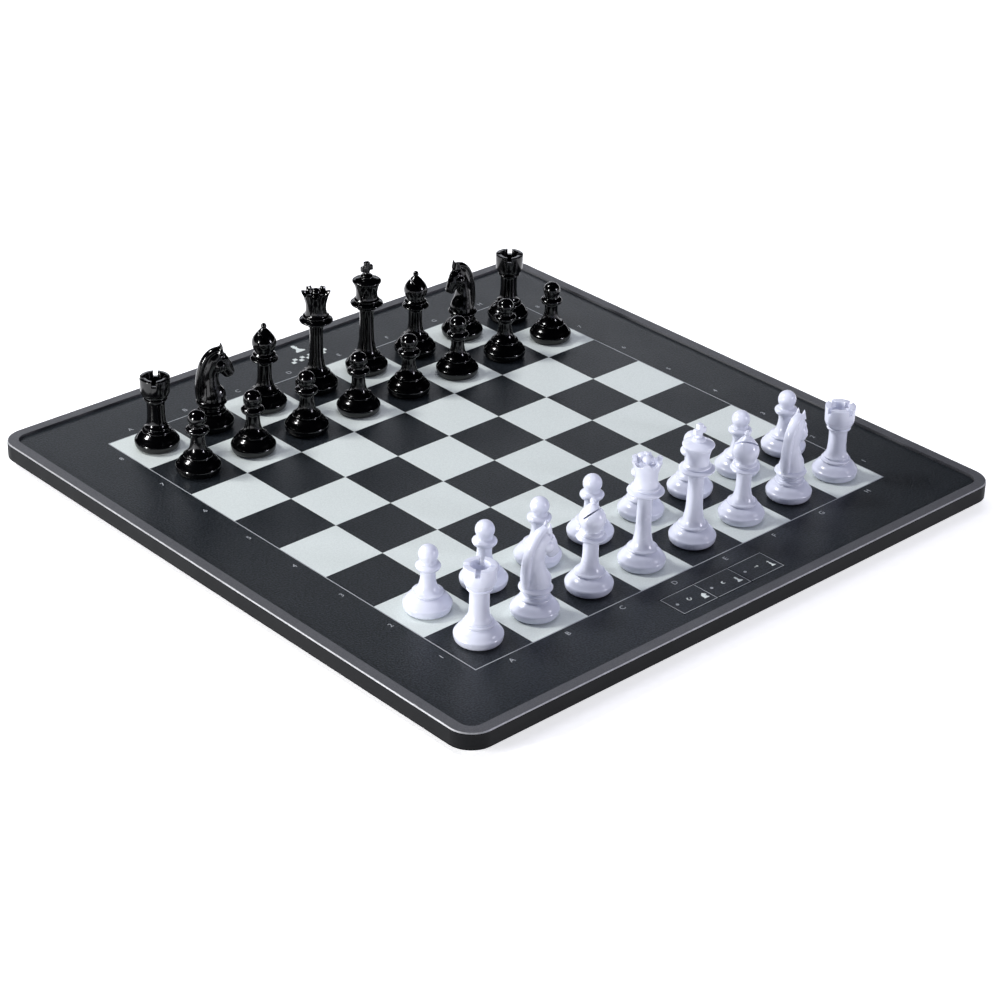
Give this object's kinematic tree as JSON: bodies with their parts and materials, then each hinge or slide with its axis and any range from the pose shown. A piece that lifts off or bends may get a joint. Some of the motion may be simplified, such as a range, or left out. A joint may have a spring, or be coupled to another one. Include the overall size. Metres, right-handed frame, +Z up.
{
  "type": "electronic chess computer",
  "caption": "Thin square electronic chess computer: raised rim, printed field, three flush function keys, and a full set of weighted men standing in the start position.",
  "frame": {"origin": "middle of the board in plan, on the plane that the rubber feet stand on", "axes": "+X from the a-file to the h-file, +Y from White's side (the side with the keys) to Black's side, +Z up"},
  "size_m": [0.367, 0.367, 0.0781],
  "materials": {
    "case_rim": "fine spark texture, satin",
    "case_underside": "fine spark texture, matt",
    "printed_panel": "hard-coated printed sheet, satin, off-white and charcoal squares",
    "key_face": "hard-coated printed sheet, satin",
    "white_men": "glossy moulded white with a cool cast",
    "black_men": "high-gloss moulded black",
    "circuit_board": "green solder mask",
    "silicone_mat": "translucent grey silicone",
    "battery_foil": "wrapped pouch cell",
    "speaker_frame": "moulded frame with paper cone",
    "ribbon_insulation": "satin film",
    "socket_steel": "drawn stainless shell",
    "switch_can": "tinned can",
    "switch_knob": "satin",
    "foot_rubber": "matt",
    "screw_steel": "black zinc"
  },
  "bodies": {
    "board": {"bottom_shell": "case_underside", "top_bezel": "case_rim", "play_panel": "printed_panel", "sensor_board": "circuit_board", "controller_board": "circuit_board", "key_board": "circuit_board", "key_switch_mat": "silicone_mat", "battery_pack": "battery_foil", "speaker": "speaker_frame", "ribbon_cable": "ribbon_insulation", "charging_socket": "socket_steel", "power_switch_body": "switch_can", "rubber_foot_front_left": "foot_rubber", "rubber_foot_front_right": "foot_rubber", "rubber_foot_back_left": "foot_rubber", "rubber_foot_back_right": "foot_rubber", "case_screw_1": "screw_steel", "case_screw_2": "screw_steel", "case_screw_3": "screw_steel", "case_screw_4": "screw_steel", "case_screw_5": "screw_steel", "case_screw_6": "screw_steel", "case_screw_7": "screw_steel", "case_screw_8": "screw_steel"},
    "key_left": {"function_key_left": "key_face"},
    "key_middle": {"function_key_middle": "key_face"},
    "key_right": {"function_key_right": "key_face"},
    "power_slider": {"power_switch_slider": "switch_knob"},
    "white_rook_a1": {"white_rook_a1": "white_men"},
    "white_knight_b1": {"white_knight_b1": "white_men"},
    "white_bishop_c1": {"white_bishop_c1": "white_men"},
    "white_queen_d1": {"white_queen_d1": "white_men"},
    "white_king_e1": {"white_king_e1": "white_men"},
    "white_bishop_f1": {"white_bishop_f1": "white_men"},
    "white_knight_g1": {"white_knight_g1": "white_men"},
    "white_rook_h1": {"white_rook_h1": "white_men"},
    "white_pawn_a2": {"white_pawn_a2": "white_men"},
    "white_pawn_b2": {"white_pawn_b2": "white_men"},
    "white_pawn_c2": {"white_pawn_c2": "white_men"},
    "white_pawn_d2": {"white_pawn_d2": "white_men"},
    "white_pawn_e2": {"white_pawn_e2": "white_men"},
    "white_pawn_f2": {"white_pawn_f2": "white_men"},
    "white_pawn_g2": {"white_pawn_g2": "white_men"},
    "white_pawn_h2": {"white_pawn_h2": "white_men"},
    "black_rook_a8": {"black_rook_a8": "black_men"},
    "black_knight_b8": {"black_knight_b8": "black_men"},
    "black_bishop_c8": {"black_bishop_c8": "black_men"},
    "black_queen_d8": {"black_queen_d8": "black_men"},
    "black_king_e8": {"black_king_e8": "black_men"},
    "black_bishop_f8": {"black_bishop_f8": "black_men"},
    "black_knight_g8": {"black_knight_g8": "black_men"},
    "black_rook_h8": {"black_rook_h8": "black_men"},
    "black_pawn_a7": {"black_pawn_a7": "black_men"},
    "black_pawn_b7": {"black_pawn_b7": "black_men"},
    "black_pawn_c7": {"black_pawn_c7": "black_men"},
    "black_pawn_d7": {"black_pawn_d7": "black_men"},
    "black_pawn_e7": {"black_pawn_e7": "black_men"},
    "black_pawn_f7": {"black_pawn_f7": "black_men"},
    "black_pawn_g7": {"black_pawn_g7": "black_men"},
    "black_pawn_h7": {"black_pawn_h7": "black_men"}
  },
  "joints": [
    {"name": "press_key_left", "type": "slide", "parent": "board", "child": "key_left", "axis": [0, 0, -1], "range_m": [0, 0.0005], "stiffness_N_per_m": 2000},
    {"name": "press_key_middle", "type": "slide", "parent": "board", "child": "key_middle", "axis": [0, 0, -1], "range_m": [0, 0.0005], "stiffness_N_per_m": 2000},
    {"name": "press_key_right", "type": "slide", "parent": "board", "child": "key_right", "axis": [0, 0, -1], "range_m": [0, 0.0005], "stiffness_N_per_m": 2000},
    {"name": "slide_power_switch", "type": "slide", "parent": "board", "child": "power_slider", "axis": [1, 0, 0], "range_m": [0, 0.0025]},
    {"name": "lift_black_bishop_c8", "type": "slide", "parent": "board", "child": "black_bishop_c8", "axis": [0, 0, 1], "range_m": [0, 0.08]},
    {"name": "lift_black_bishop_f8", "type": "slide", "parent": "board", "child": "black_bishop_f8", "axis": [0, 0, 1], "range_m": [0, 0.08]},
    {"name": "lift_black_king_e8", "type": "slide", "parent": "board", "child": "black_king_e8", "axis": [0, 0, 1], "range_m": [0, 0.08]},
    {"name": "lift_black_knight_b8", "type": "slide", "parent": "board", "child": "black_knight_b8", "axis": [0, 0, 1], "range_m": [0, 0.08]},
    {"name": "lift_black_knight_g8", "type": "slide", "parent": "board", "child": "black_knight_g8", "axis": [0, 0, 1], "range_m": [0, 0.08]},
    {"name": "lift_black_queen_d8", "type": "slide", "parent": "board", "child": "black_queen_d8", "axis": [0, 0, 1], "range_m": [0, 0.08]},
    {"name": "lift_black_rook_a8", "type": "slide", "parent": "board", "child": "black_rook_a8", "axis": [0, 0, 1], "range_m": [0, 0.08]},
    {"name": "lift_black_rook_h8", "type": "slide", "parent": "board", "child": "black_rook_h8", "axis": [0, 0, 1], "range_m": [0, 0.08]},
    {"name": "lift_white_bishop_c1", "type": "slide", "parent": "board", "child": "white_bishop_c1", "axis": [0, 0, 1], "range_m": [0, 0.08]},
    {"name": "lift_white_bishop_f1", "type": "slide", "parent": "board", "child": "white_bishop_f1", "axis": [0, 0, 1], "range_m": [0, 0.08]},
    {"name": "lift_white_king_e1", "type": "slide", "parent": "board", "child": "white_king_e1", "axis": [0, 0, 1], "range_m": [0, 0.08]},
    {"name": "lift_white_knight_b1", "type": "slide", "parent": "board", "child": "white_knight_b1", "axis": [0, 0, 1], "range_m": [0, 0.08]},
    {"name": "lift_white_knight_g1", "type": "slide", "parent": "board", "child": "white_knight_g1", "axis": [0, 0, 1], "range_m": [0, 0.08]},
    {"name": "lift_white_queen_d1", "type": "slide", "parent": "board", "child": "white_queen_d1", "axis": [0, 0, 1], "range_m": [0, 0.08]},
    {"name": "lift_white_rook_a1", "type": "slide", "parent": "board", "child": "white_rook_a1", "axis": [0, 0, 1], "range_m": [0, 0.08]},
    {"name": "lift_white_rook_h1", "type": "slide", "parent": "board", "child": "white_rook_h1", "axis": [0, 0, 1], "range_m": [0, 0.08]},
    {"name": "lift_black_pawn_a7", "type": "slide", "parent": "board", "child": "black_pawn_a7", "axis": [0, 0, 1], "range_m": [0, 0.08]},
    {"name": "lift_black_pawn_b7", "type": "slide", "parent": "board", "child": "black_pawn_b7", "axis": [0, 0, 1], "range_m": [0, 0.08]},
    {"name": "lift_black_pawn_c7", "type": "slide", "parent": "board", "child": "black_pawn_c7", "axis": [0, 0, 1], "range_m": [0, 0.08]},
    {"name": "lift_black_pawn_d7", "type": "slide", "parent": "board", "child": "black_pawn_d7", "axis": [0, 0, 1], "range_m": [0, 0.08]},
    {"name": "lift_black_pawn_e7", "type": "slide", "parent": "board", "child": "black_pawn_e7", "axis": [0, 0, 1], "range_m": [0, 0.08]},
    {"name": "lift_black_pawn_f7", "type": "slide", "parent": "board", "child": "black_pawn_f7", "axis": [0, 0, 1], "range_m": [0, 0.08]},
    {"name": "lift_black_pawn_g7", "type": "slide", "parent": "board", "child": "black_pawn_g7", "axis": [0, 0, 1], "range_m": [0, 0.08]},
    {"name": "lift_black_pawn_h7", "type": "slide", "parent": "board", "child": "black_pawn_h7", "axis": [0, 0, 1], "range_m": [0, 0.08]},
    {"name": "lift_white_pawn_a2", "type": "slide", "parent": "board", "child": "white_pawn_a2", "axis": [0, 0, 1], "range_m": [0, 0.08]},
    {"name": "lift_white_pawn_b2", "type": "slide", "parent": "board", "child": "white_pawn_b2", "axis": [0, 0, 1], "range_m": [0, 0.08]},
    {"name": "lift_white_pawn_c2", "type": "slide", "parent": "board", "child": "white_pawn_c2", "axis": [0, 0, 1], "range_m": [0, 0.08]},
    {"name": "lift_white_pawn_d2", "type": "slide", "parent": "board", "child": "white_pawn_d2", "axis": [0, 0, 1], "range_m": [0, 0.08]},
    {"name": "lift_white_pawn_e2", "type": "slide", "parent": "board", "child": "white_pawn_e2", "axis": [0, 0, 1], "range_m": [0, 0.08]},
    {"name": "lift_white_pawn_f2", "type": "slide", "parent": "board", "child": "white_pawn_f2", "axis": [0, 0, 1], "range_m": [0, 0.08]},
    {"name": "lift_white_pawn_g2", "type": "slide", "parent": "board", "child": "white_pawn_g2", "axis": [0, 0, 1], "range_m": [0, 0.08]},
    {"name": "lift_white_pawn_h2", "type": "slide", "parent": "board", "child": "white_pawn_h2", "axis": [0, 0, 1], "range_m": [0, 0.08]}
  ]
}
